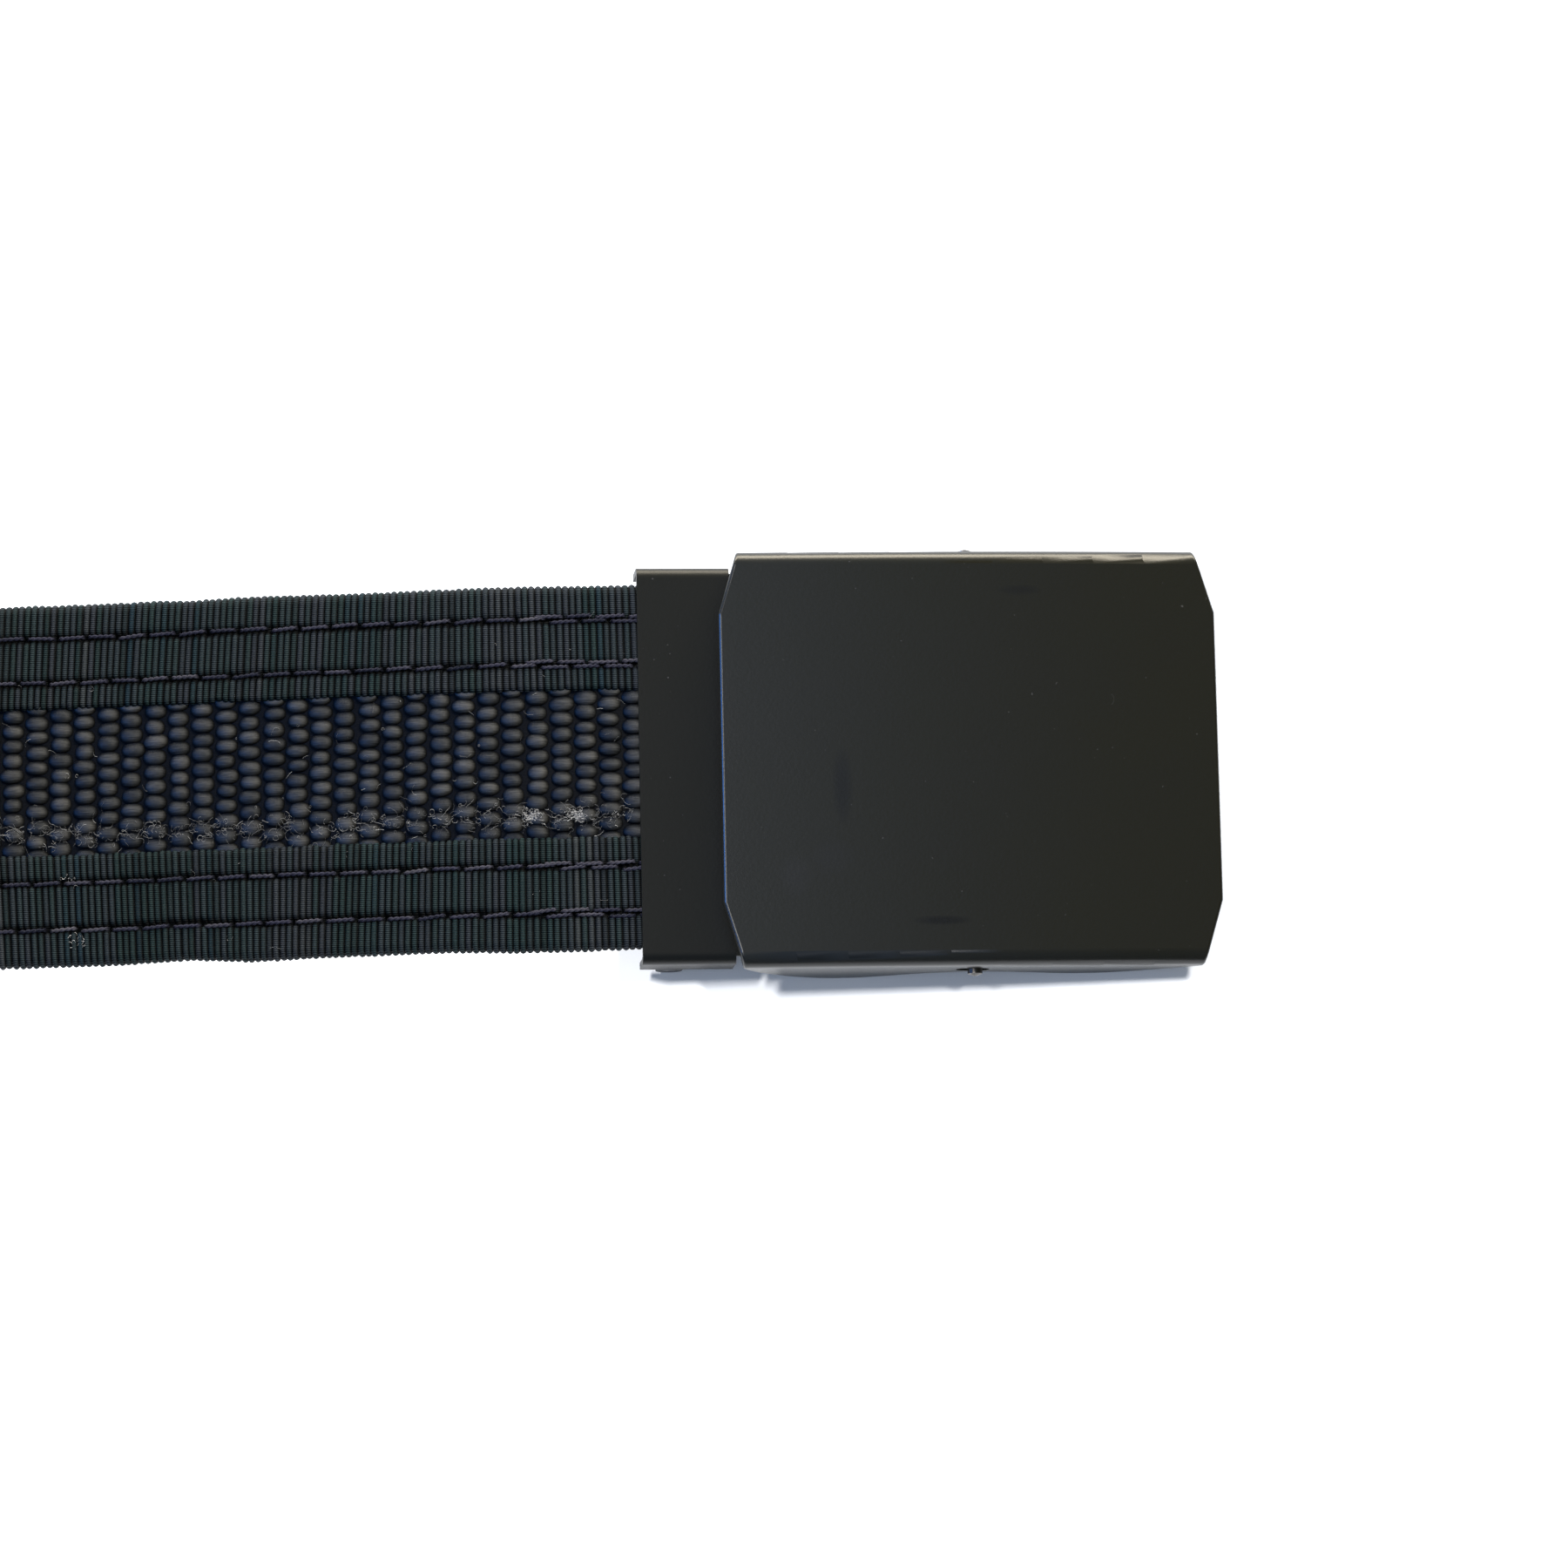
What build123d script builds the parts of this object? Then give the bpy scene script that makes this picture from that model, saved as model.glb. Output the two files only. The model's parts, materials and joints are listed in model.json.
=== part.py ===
from build123d import *
import os
from math import cos, radians, sin

# Webbing belt with a plate buckle, lying on its back, face up.
# +X runs along the belt towards the buckle, +Y across it, +Z up. The origin is the
# middle of the belt's footprint, on the surface that it lies on. All sizes are in mm.

# ---- Strap ----
strap_width = 50.0
strap_thick = 2.8  # at the edge bindings
core_thick = 2.0
tape_thick = (strap_thick - core_thick) / 2
upper_tape = 14.6  # how far the folded tape reaches in from the strap's +Y edge
lower_tape = 15.4
thread_width = 0.6
thread_deep = 0.25
upper_outer_row = 4.9  # from the strap's +Y edge to the row of stitches
upper_inner_row = 11.1
lower_outer_row = 5.1  # from the strap's -Y edge
lower_inner_row = 11.5

# ---- How the strap lies ----
bend_radius = 120.0  # where it comes down from the buckle and levels out
descent_angle = 7.0
floor_run = 46.0  # flat on the surface, between the descent and the roll
roll_radius = 36.5  # of the strap's middle, on the outermost half turn
roll_pitch = 3.1
half_turns = 15
inner_bend = 6.0
inner_bend_angle = 100.0
tip_run = 18.0  # the straight last stretch in the middle of the roll

# ---- Buckle, in its own frame: u along the plate, v across it, w out of its face ----
face_height = 10.86  # of the plate's middle over the surface
slope = 5.6  # the plate leans on its two unequal bulges, down towards its free end
plate_length = 67.1
plate_width = 56.3
plate_sheet = 1.2
crown = 0.8
fold_radius = 2.0
rim_radius = 0.4  # the worn edge round the plate's face
corner_u = 2.6
corner_v = 8.6
flange_edge = [  # (u, w): down to the left bulge, up to the waist, down to the right one
    (-30.8, -2.0),
    (-26.3, -8.3),
    (-17.2, -12.6),
    (-7.7, -8.9),
    (1.5, -6.9),
    (8.8, -8.2),
    (15.3, -9.4),
    (24.5, -6.3),
    (30.8, -2.4),
]
slot_length = 4.5
slot_height = 2.2
slot_u = 0.05

frame_sheet = 0.9
sleeve_end = -44.1
sleeve_face = -5.2
sleeve_edge = -11.4
sleeve_fold = 1.5
relief_u = -31.6  # the bend relief between the sleeve's walls and the cheeks
relief_width = 1.0
step_u = -30.0  # where the sheet bends down from the sleeve to the trough
cheek_top = -2.1
cheek_start = -28.4
ramp_end = 12.5
trough_left = (-21.0, -10.9)
ramp_foot = (-0.6, -9.95)
ramp_head = (8.0, -7.55)
ramp_end_w = -7.4

axle_u = 0.35
axle_w = -4.5
axle_end_radius = 1.0
axle_radius = 1.3
axle_stub = 0.9  # how far each end stands out of the plate's flange
roller_radius = 2.0
running_gap = 0.05
side_gap = 0.35
flutes = 20
flute_radius = 0.22

pin_u = -40.1
pin_w = -12.6
pin_radius = 0.9
ear_radius = 1.8
knuckle_radius = 1.6
clamp_sheet = 1.0
clamp_reach = 6.9
clamp_end_w = -9.5  # of the plate's upper face, at its free end
tooth_height = 0.5
tooth_pitch = 4.0
teeth = 12
tooth_width = 2.4
tooth_length = 1.2

# ---- Belt tip ----
tip_length = 14.0
tip_sheet = 0.45
tip_corner = 3.0

# ---- Worked out ----
half_plate = plate_width / 2
frame_half = half_plate - plate_sheet  # the cheeks lie against the flanges
inside_half = frame_half - frame_sheet
strap_middle = sleeve_face - frame_sheet - 0.05 - strap_thick / 2
strap_start_u = -33.3
sleeve_run = strap_start_u - sleeve_end + 1.5

strap_start_x = strap_start_u * cos(radians(slope)) + strap_middle * sin(radians(slope))
strap_start_z = (
    face_height
    - strap_start_u * sin(radians(slope))
    + strap_middle * cos(radians(slope))
)
arc_down = slope + descent_angle


def arc_drop(radius, heading, turn):
    """How far an arc to the left goes along X and Z from a heading, in degrees."""
    first = radians(heading)
    last = radians(heading + turn)
    return radius * (sin(last) - sin(first)), radius * (cos(first) - cos(last))


first_heading = 180 - slope
over_x, over_z = arc_drop(bend_radius, first_heading, arc_down)
level_drop = bend_radius * (1 - cos(radians(descent_angle)))
height_left = (
    strap_start_z
    + sleeve_run * sin(radians(slope))
    + over_z
    - level_drop
    - strap_thick / 2
)
descent_run = height_left / sin(radians(descent_angle))

# The strap from the sleeve to the tip: (length, 0) for a straight run, and
# (radius, angle) for an arc, which turns left if the angle is positive.
runs = [
    (sleeve_run, 0),
    (bend_radius, arc_down),
    (descent_run, 0),
    (bend_radius, -descent_angle),
    (floor_run, 0),
]
for k in range(half_turns):
    runs.append((roll_radius - k * roll_pitch / 2, -180))
runs.append((inner_bend, -inner_bend_angle))
runs.append((tip_run, 0))

strap_length = sum(
    size * radians(abs(angle)) if angle else size for size, angle in runs
)
roll_x = (
    strap_start_x
    - sleeve_run * cos(radians(slope))
    + over_x
    - descent_run * cos(radians(descent_angle))
    - bend_radius * sin(radians(descent_angle))
    - floor_run
)
left_end = roll_x - roll_radius - strap_thick / 2
right_end = plate_length / 2 * cos(radians(slope))
buckle_x = -(left_end + right_end) / 2

buckle_plane = Plane(
    origin=(buckle_x, 0, face_height),
    x_dir=(cos(radians(slope)), 0, -sin(radians(slope))),
    z_dir=(sin(radians(slope)), 0, cos(radians(slope))),
)
side_plane = Plane(
    origin=buckle_plane.origin, x_dir=buckle_plane.x_dir, z_dir=(0, -1, 0)
)

os.makedirs("parts", exist_ok=True)


def write(part, name):
    """Labels a finished piece and writes its STEP file."""
    part.label = name
    export_step(part, f"parts/{name}.step")


def strap_line(height):
    """The strap's side outline, a height above its middle, as joined edges."""
    heading = radians(180 - slope)
    point = Vector(
        buckle_x + strap_start_x + height * sin(heading),
        strap_start_z - height * cos(heading),
    )
    tangent = Vector(cos(heading), sin(heading))
    edges = []
    for size, angle in runs:
        if angle == 0:
            edges.append(Line(point, point + tangent * size))
        else:
            radius = size + height if angle > 0 else size - height
            edges.append(JernArc(point, tangent, radius, angle))
        point = edges[-1] @ 1
        tangent = edges[-1] % 1
    return edges


def strap_layer(low, high, y_low, y_high):
    """A layer of the strap from end to end, between two heights and two places across."""
    with BuildSketch(Plane.XZ.offset(-y_low)) as layer:
        with BuildLine():
            lower = strap_line(low)
            upper = strap_line(high)
            Line(lower[0] @ 0, upper[0] @ 0)
            Line(lower[-1] @ 1, upper[-1] @ 1)
        make_face()
    return layer.sketch, y_low - y_high


# ---- Core webbing ----
with BuildPart() as core_webbing:
    core_half = strap_width / 2 - tape_thick
    profile, across = strap_layer(
        -core_thick / 2, core_thick / 2, -core_half, core_half
    )
    extrude(profile, amount=across)
write(core_webbing.part, "core_webbing")

# ---- Edge bindings: tape folded round each edge, with a groove for each thread ----
rows = {
    "upper_outer": strap_width / 2 - upper_outer_row,
    "upper_inner": strap_width / 2 - upper_inner_row,
    "lower_inner": -strap_width / 2 + lower_inner_row,
    "lower_outer": -strap_width / 2 + lower_outer_row,
}
faces = {
    "needle": (strap_thick / 2 - thread_deep, strap_thick / 2),
    "bobbin": (-strap_thick / 2, -strap_thick / 2 + thread_deep),
}


def binding(edge_y, inner_y, row_names):
    """The folded tape between the strap's edge and the tape's inner edge."""
    low_y, high_y = sorted((edge_y, inner_y))
    fold_y = edge_y * (1 - 2 * tape_thick / strap_width)
    core_low, core_high = sorted((fold_y, inner_y))
    with BuildPart() as tape:
        profile, across = strap_layer(
            -strap_thick / 2, strap_thick / 2, low_y, high_y
        )
        extrude(profile, amount=across)
        profile, across = strap_layer(
            -core_thick / 2, core_thick / 2, core_low, core_high
        )
        extrude(profile, amount=across, mode=Mode.SUBTRACT)
        for row in row_names:
            for low, high in faces.values():
                profile, across = strap_layer(
                    low,
                    high,
                    rows[row] - thread_width / 2,
                    rows[row] + thread_width / 2,
                )
                extrude(profile, amount=across, mode=Mode.SUBTRACT)
    return tape.part


write(
    binding(
        strap_width / 2, strap_width / 2 - upper_tape, ("upper_outer", "upper_inner")
    ),
    "upper_edge_binding",
)
write(
    binding(
        -strap_width / 2, -strap_width / 2 + lower_tape, ("lower_outer", "lower_inner")
    ),
    "lower_edge_binding",
)

# ---- Stitching: a needle thread on the front and a bobbin thread on the back ----
for row, row_y in rows.items():
    for thread, (low, high) in faces.items():
        with BuildPart() as seam:
            profile, across = strap_layer(
                low, high, row_y - thread_width / 2, row_y + thread_width / 2
            )
            extrude(profile, amount=across)
        write(seam.part, f"{row}_{thread}_thread")

# ---- Belt tip: a thin cap pressed over the strap's free end ----
with BuildLine():
    middle = strap_line(0)
tip_end = middle[-1] @ 1
tip_way = middle[-1] % 1
tip_plane = Plane(
    origin=(tip_end.X, 0, tip_end.Y),
    x_dir=(tip_way.X, 0, tip_way.Y),
    z_dir=(-tip_way.Y, 0, tip_way.X),
)
cap_thick = strap_thick + 2 * tip_sheet
cap_width = strap_width + 2 * tip_sheet
with BuildPart() as belt_tip:
    with BuildSketch(tip_plane.offset(-cap_thick / 2)):
        with Locations((tip_sheet - tip_length / 2, 0)):
            Rectangle(tip_length, cap_width)
    extrude(amount=cap_thick)
    outer_end = belt_tip.edges().filter_by(
        lambda edge: abs(edge.length - cap_thick) < 0.01
    )
    fillet(outer_end.sort_by_distance(tip_plane.origin)[:2], radius=tip_corner)
    with BuildSketch(tip_plane.offset(-strap_thick / 2)):
        with Locations((-tip_length / 2, 0)):
            Rectangle(tip_length, strap_width)
    extrude(amount=strap_thick, mode=Mode.SUBTRACT)
write(belt_tip.part, "belt_tip")

# ---- Face plate: crowned cover with cut corners and two wavy side flanges ----
deep = 16.0
under_drop = plate_sheet + 3 * crown  # the crown's arc carried on to twice its length
with BuildPart() as plate_inside:
    with BuildSketch(side_plane):
        with BuildLine():
            under = ThreePointArc(
                (-plate_length, -under_drop),
                (0, crown - plate_sheet),
                (plate_length, -under_drop),
            )
            Line(under @ 1, (plate_length, -2 * deep))
            Line((plate_length, -2 * deep), (-plate_length, -2 * deep))
            Line((-plate_length, -2 * deep), under @ 0)
        make_face()
    extrude(amount=frame_half, both=True)
    fillet(
        plate_inside.edges().filter_by(GeomType.CIRCLE),
        radius=fold_radius - plate_sheet,
    )

with BuildPart() as face_plate:
    with BuildSketch(side_plane):
        with BuildLine():
            top = ThreePointArc((-plate_length / 2, 0), (0, crown), (plate_length / 2, 0))
            Line(top @ 1, (plate_length / 2, -deep))
            Line((plate_length / 2, -deep), (-plate_length / 2, -deep))
            Line((-plate_length / 2, -deep), top @ 0)
        make_face()
    extrude(amount=half_plate, both=True)
    fillet(face_plate.edges().filter_by(GeomType.CIRCLE), radius=fold_radius)
    add(plate_inside.part, mode=Mode.SUBTRACT)
    with BuildSketch(side_plane):
        with BuildLine():
            wave = Spline(*flange_edge)
            Line(wave @ 1, (plate_length, flange_edge[-1][1]))
            Line((plate_length, flange_edge[-1][1]), (plate_length, -2 * deep))
            Line((plate_length, -2 * deep), (-plate_length, -2 * deep))
            Line((-plate_length, -2 * deep), (-plate_length, -fold_radius))
            Line((-plate_length, -fold_radius), wave @ 0)
        make_face()
    extrude(amount=plate_width, both=True, mode=Mode.SUBTRACT)
    with BuildSketch(buckle_plane.offset(-deep)):
        Rectangle(plate_length, plate_width)
        Polygon(
            (-plate_length / 2 + corner_u, half_plate),
            (plate_length / 2 - corner_u, half_plate),
            (plate_length / 2, half_plate - corner_v),
            (plate_length / 2, -half_plate + corner_v),
            (plate_length / 2 - corner_u, -half_plate),
            (-plate_length / 2 + corner_u, -half_plate),
            (-plate_length / 2, -half_plate + corner_v),
            (-plate_length / 2, half_plate - corner_v),
            align=None,
            mode=Mode.INTERSECT,
        )
    extrude(amount=2 * deep, mode=Mode.INTERSECT)
    crowned = face_plate.faces().filter_by(GeomType.CYLINDER).sort_by(SortBy.AREA)[-2:]
    face = crowned.sort_by(Axis.Z)[-1]
    fillet(face.edges().filter_by(GeomType.CIRCLE, reverse=True), radius=rim_radius)
    with BuildSketch(side_plane):
        with Locations((slot_u, axle_w)):
            SlotOverall(slot_length, slot_height)
    extrude(amount=plate_width, both=True, mode=Mode.SUBTRACT)
    with BuildSketch(Plane.XY):
        with Locations((buckle_x, 0)):
            Rectangle(2 * plate_length, 2 * plate_width)
    extrude(amount=-deep, mode=Mode.SUBTRACT)
write(face_plate.part, "face_plate")

# ---- Back frame: sleeve, trough and ramp in one sheet, with cheeks along both sides ----
sleeve_plane = Plane(
    origin=side_plane.from_local_coords((sleeve_end, 0, 0)),
    x_dir=(0, 1, 0),
    z_dir=buckle_plane.x_dir,
)


def channel(half, face, edge, corner):
    """The outline of a channel that opens downwards, with its two upper corners rounded."""
    with BuildSketch(sleeve_plane) as outline:
        with Locations((0, (face + edge) / 2)):
            Rectangle(2 * half, face - edge)
        fillet(outline.vertices().group_by(Axis.Y)[-1], radius=corner)
    return outline.sketch


with BuildPart() as back_frame:
    extrude(
        channel(frame_half, sleeve_face, sleeve_edge, sleeve_fold),
        amount=relief_u - sleeve_end,
    )
    extrude(
        channel(
            inside_half,
            sleeve_face - frame_sheet,
            sleeve_edge,
            sleeve_fold - frame_sheet,
        ),
        amount=relief_u - sleeve_end,
        mode=Mode.SUBTRACT,
    )
    with BuildSketch(side_plane):
        with BuildLine():
            FilletPolyline(
                (relief_u, sleeve_face),
                (step_u, sleeve_face),
                trough_left,
                ramp_foot,
                ramp_head,
                (ramp_end, ramp_end_w),
                radius=2.0,
            )
            offset(amount=frame_sheet, side=Side.RIGHT)
        make_face()
    extrude(amount=frame_half, both=True)
    for side in (-1, 1):
        outside = side_plane.offset(side * frame_half)
        with BuildSketch(outside):
            with Locations((pin_u, pin_w + ear_radius)):
                Rectangle(2 * ear_radius, 2 * ear_radius)
            with Locations((pin_u, pin_w)):
                Circle(ear_radius)
                Circle(pin_radius, mode=Mode.SUBTRACT)
        extrude(amount=-side * frame_sheet)
        with BuildSketch(outside):
            Polygon(
                (cheek_start, cheek_top),
                (ramp_end, cheek_top),
                (ramp_end, ramp_end_w - frame_sheet / 2),
                (ramp_head[0], ramp_head[1] - frame_sheet / 2),
                (ramp_foot[0], ramp_foot[1] - frame_sheet / 2),
                (trough_left[0], trough_left[1] - frame_sheet / 2),
                (cheek_start, sleeve_face - 2 * frame_sheet),
                align=None,
            )
            with Locations((axle_u, axle_w)):
                Rectangle(slot_length + 0.8, 2 * axle_radius, mode=Mode.SUBTRACT)
            with Locations((axle_u, cheek_top)):
                Rectangle(slot_length + 0.8, -2 * axle_w, mode=Mode.SUBTRACT)
        extrude(amount=-side * frame_sheet)
        with BuildSketch(outside):
            with Locations((relief_u + relief_width / 2, sleeve_face)):
                Rectangle(relief_width, 4 * frame_sheet)
        extrude(amount=-side * relief_width, mode=Mode.SUBTRACT)
write(back_frame.part, "back_frame")

# ---- Roller axle: shouldered pin whose thin ends ride in the slots ----
axle_plane = Plane(
    origin=side_plane.from_local_coords((axle_u, axle_w, 0)),
    x_dir=buckle_plane.x_dir,
    z_dir=(0, 1, 0),
)
axle_half = half_plate + axle_stub
shoulder_half = inside_half - 0.15
with BuildPart() as roller_axle:
    with BuildSketch(axle_plane):
        Circle(axle_radius)
    extrude(amount=shoulder_half, both=True)
    with BuildSketch(axle_plane):
        Circle(axle_end_radius)
    extrude(amount=axle_half, both=True)
    rims = roller_axle.edges().filter_by(GeomType.CIRCLE).sort_by(Axis.Y)
    chamfer([rims[0], rims[-1]], length=0.3, length2=0.8)
write(roller_axle.part, "roller_axle")

# ---- Locking roller: fluted tube that turns on the axle ----
roller_half = inside_half - side_gap
with BuildPart() as locking_roller:
    with BuildSketch(axle_plane):
        Circle(roller_radius)
        with PolarLocations(roller_radius, flutes):
            Circle(flute_radius, mode=Mode.SUBTRACT)
        Circle(axle_radius + running_gap, mode=Mode.SUBTRACT)
    extrude(amount=roller_half, both=True)
write(locking_roller.part, "locking_roller")

# ---- Clamp pin, fixed in the sleeve's ears ----
pin_plane = Plane(
    origin=side_plane.from_local_coords((pin_u, pin_w, 0)),
    x_dir=buckle_plane.x_dir,
    z_dir=(0, 1, 0),
)
with BuildPart() as clamp_pin:
    with BuildSketch(pin_plane):
        Circle(pin_radius)
    extrude(amount=frame_half, both=True)
write(clamp_pin.part, "clamp_pin")

# ---- End clamp: plate that turns on the pin, with teeth that bite the strap's back ----
clamp_half = inside_half - side_gap
clamp_top = pin_w + knuckle_radius
tooth_u = pin_u + clamp_reach - tooth_length / 2
tooth_plane = Plane(
    origin=side_plane.from_local_coords((tooth_u - tooth_length / 2, clamp_end_w, 0)),
    x_dir=(0, 1, 0),
    z_dir=buckle_plane.x_dir,
)
with BuildPart() as end_clamp:
    with BuildSketch(side_plane):
        with Locations((pin_u, pin_w)):
            Circle(knuckle_radius)
        Polygon(
            (pin_u, clamp_top),
            (pin_u + clamp_reach, clamp_end_w),
            (pin_u + clamp_reach, clamp_end_w - clamp_sheet),
            (pin_u, clamp_top - clamp_sheet),
            align=None,
        )
        with Locations((pin_u, pin_w)):
            Circle(pin_radius + running_gap, mode=Mode.SUBTRACT)
    extrude(amount=clamp_half, both=True)
    with BuildSketch(tooth_plane):
        with GridLocations(tooth_pitch, 0, teeth, 1):
            Polygon(
                (-tooth_width / 2, -clamp_sheet / 2),
                (tooth_width / 2, -clamp_sheet / 2),
                (0, tooth_height),
                align=None,
            )
    extrude(amount=tooth_length)
write(end_clamp.part, "end_clamp")

print(f"strap length {strap_length:.1f}, buckle at x {buckle_x:.2f}, roll {roll_x:.1f}")
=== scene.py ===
import json
from math import cos, pi, radians, sin

import bpy
import numpy as np
from mathutils import Matrix, Vector

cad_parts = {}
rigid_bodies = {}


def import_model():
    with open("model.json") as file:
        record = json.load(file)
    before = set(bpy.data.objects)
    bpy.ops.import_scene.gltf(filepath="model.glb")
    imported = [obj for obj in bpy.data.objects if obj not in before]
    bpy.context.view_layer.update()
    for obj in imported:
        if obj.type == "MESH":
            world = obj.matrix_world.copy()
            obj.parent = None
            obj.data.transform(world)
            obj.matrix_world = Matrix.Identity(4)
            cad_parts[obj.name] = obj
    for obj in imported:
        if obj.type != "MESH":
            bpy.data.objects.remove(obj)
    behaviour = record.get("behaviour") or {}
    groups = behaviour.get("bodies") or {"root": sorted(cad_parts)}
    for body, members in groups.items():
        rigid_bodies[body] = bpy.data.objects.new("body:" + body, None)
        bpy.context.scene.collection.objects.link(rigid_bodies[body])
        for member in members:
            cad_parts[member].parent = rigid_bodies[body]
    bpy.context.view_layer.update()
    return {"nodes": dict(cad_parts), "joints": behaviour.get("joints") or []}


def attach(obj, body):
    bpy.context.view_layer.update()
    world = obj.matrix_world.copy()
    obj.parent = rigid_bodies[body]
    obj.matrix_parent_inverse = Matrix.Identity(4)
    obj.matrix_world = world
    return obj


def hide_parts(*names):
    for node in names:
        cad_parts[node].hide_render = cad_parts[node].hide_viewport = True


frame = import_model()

# A webbing belt: a rolled strap with taped edges, and a plate buckle whose pieces come from CAD.
# The strap is built in strap space, in mm: s along it from its end under the buckle, t across
# it, and h out of its front face. lay() puts it along the strap's centreline, in metres.

rng = np.random.default_rng(27)
MM = 0.001
scene = bpy.context.scene

# ---- The buckle's own axes: u along it, y across it and w out of its face ----
joints = {j["name"]: j for j in frame["joints"]}
u_axis = np.array(joints["roller_slide"]["axis"])
w_axis = np.array([-u_axis[2], 0, u_axis[0]])
axle_u, axle_w = 0.35, -4.5
axle = np.array(joints["roller_spin"]["pos_m"]) / MM
buckle = axle - axle_u * u_axis - axle_w * w_axis
slope = np.arctan2(-u_axis[2], u_axis[0])

# ---- Where the strap runs: out of the sleeve, down to the floor and into the roll ----
strap_width = 50.0
strap_thick = 2.8
strap_end_u, strap_end_w = -33.3, -7.55
strap_start = buckle + strap_end_u * u_axis + strap_end_w * w_axis
sleeve_run = 12.3
bend_radius = 120.0
descent_angle = radians(7.0)
floor_run = 46.0
roll_radius = 36.5
roll_pitch = 3.1
half_turns = 15
tip_bend_radius, tip_bend = 6.0, radians(100)
tip_run = 18.0

arc_down = slope + descent_angle
rise_over_bend = bend_radius * (cos(pi - slope) - cos(pi - slope + arc_down))
height_left = (
    strap_start[2]
    + sleeve_run * sin(slope)
    + rise_over_bend
    - bend_radius * (1 - cos(descent_angle))
    - strap_thick / 2
)
# Each run is (length, 0) if it is straight, or (radius, angle) if it bends.
runs = [
    (sleeve_run, 0),
    (bend_radius, arc_down),
    (height_left / sin(descent_angle), 0),
    (bend_radius, -descent_angle),
    (floor_run, 0),
]
runs += [(roll_radius - k * roll_pitch / 2, -pi) for k in range(half_turns)]
runs += [(tip_bend_radius, -tip_bend), (tip_run, 0)]

# For each run: where it starts along the strap, its first x, z and heading, and its curvature.
starts, firsts, bends = [0.0], [(strap_start[0], strap_start[2], pi - slope)], []
for size, angle in runs:
    x, z, a = firsts[-1]
    length = size * abs(angle) if angle else size
    bend = angle / length
    if angle:
        x += (sin(a + angle) - sin(a)) / bend
        z -= (cos(a + angle) - cos(a)) / bend
    else:
        x += length * cos(a)
        z += length * sin(a)
    firsts.append((x, z, a + angle))
    bends.append(bend)
    starts.append(starts[-1] + length)
strap_length = starts[-1]
roll_start = starts[5]
starts, firsts, bends = np.array(starts[:-1]), np.array(firsts[:-1]), np.array(bends)


def lay(s, t, h):
    """Points of strap space, in mm, as points of the row frame, in metres."""
    s, t, h = np.broadcast_arrays(np.clip(s, 0, strap_length), t, h)
    run = np.clip(np.searchsorted(starts, s, side="right") - 1, 0, len(starts) - 1)
    x, z, a = np.moveaxis(firsts[run], -1, 0)
    along = s - starts[run]
    bend = bends[run]
    heading = a + bend * along
    curved = np.abs(bend) > 1e-9
    divide = np.where(curved, bend, 1)
    x = x + np.where(curved, (np.sin(heading) - np.sin(a)) / divide, along * np.cos(a))
    z = z - np.where(curved, (np.cos(heading) - np.cos(a)) / divide, -along * np.sin(a))
    points = np.stack([x + h * np.sin(heading), t, z - h * np.cos(heading)], axis=-1)
    return points.reshape(-1, 3) * MM


def drift(places, spacing, size):
    """Smooth random values at places, which wander over about the spacing."""
    knots = np.arange(np.min(places) - spacing, np.max(places) + 2 * spacing, spacing)
    return np.interp(places, knots, rng.normal(0, size, len(knots)))


# ---- Mesh and material helpers ----
def add_piece(name, points, faces, levels, material):
    """A smooth mesh on the belt, with a tint and a painted shade level at each point: 0 is darkest, 1
    is unshaded.
    """
    mesh = bpy.data.meshes.new(name)
    mesh.from_pydata(points, [], faces)
    mesh.shade_smooth()
    for label, level in zip(("tint", "painted_shading"), levels):
        made = mesh.attributes.new(label, "FLOAT", "POINT")
        made.data.foreach_set("value", np.asarray(level, np.float32).ravel())
    mesh.materials.append(material)
    piece = bpy.data.objects.new(name, mesh)
    scene.collection.objects.link(piece)
    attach(piece, "belt")
    return piece


def grid_faces(count, rows, columns, closed=False):
    """Quads of several grids of points, each rows by columns, numbered one after another."""
    index = np.arange(count * rows * columns).reshape(count, rows, columns)
    after = np.roll(index, -1, axis=2)
    last = columns if closed else columns - 1
    quads = np.stack(
        [index[:, :-1, :last], after[:, :-1, :last], after[:, 1:, :last], index[:, 1:, :last]],
        axis=-1,
    )
    return quads.reshape(-1, 4).tolist()


def tube_faces(rows, columns):
    """The faces of one closed tube of rows rings, with a cap on each end."""
    faces = grid_faces(1, rows, columns, closed=True)
    faces.append(list(range(columns))[::-1])
    faces.append([(rows - 1) * columns + i for i in range(columns)])
    return faces


def set_stops(color_ramp, stops):
    """Gives a new colour ramp its stops, each (place, grey level or colour)."""
    steps = color_ramp.elements
    for i, (place, colour) in enumerate(stops):
        step = steps[i] if i < 2 else steps.new(place)
        step.position = place
        step.color = (*colour, 1) if hasattr(colour, "__len__") else (*[colour] * 3, 1)


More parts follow.
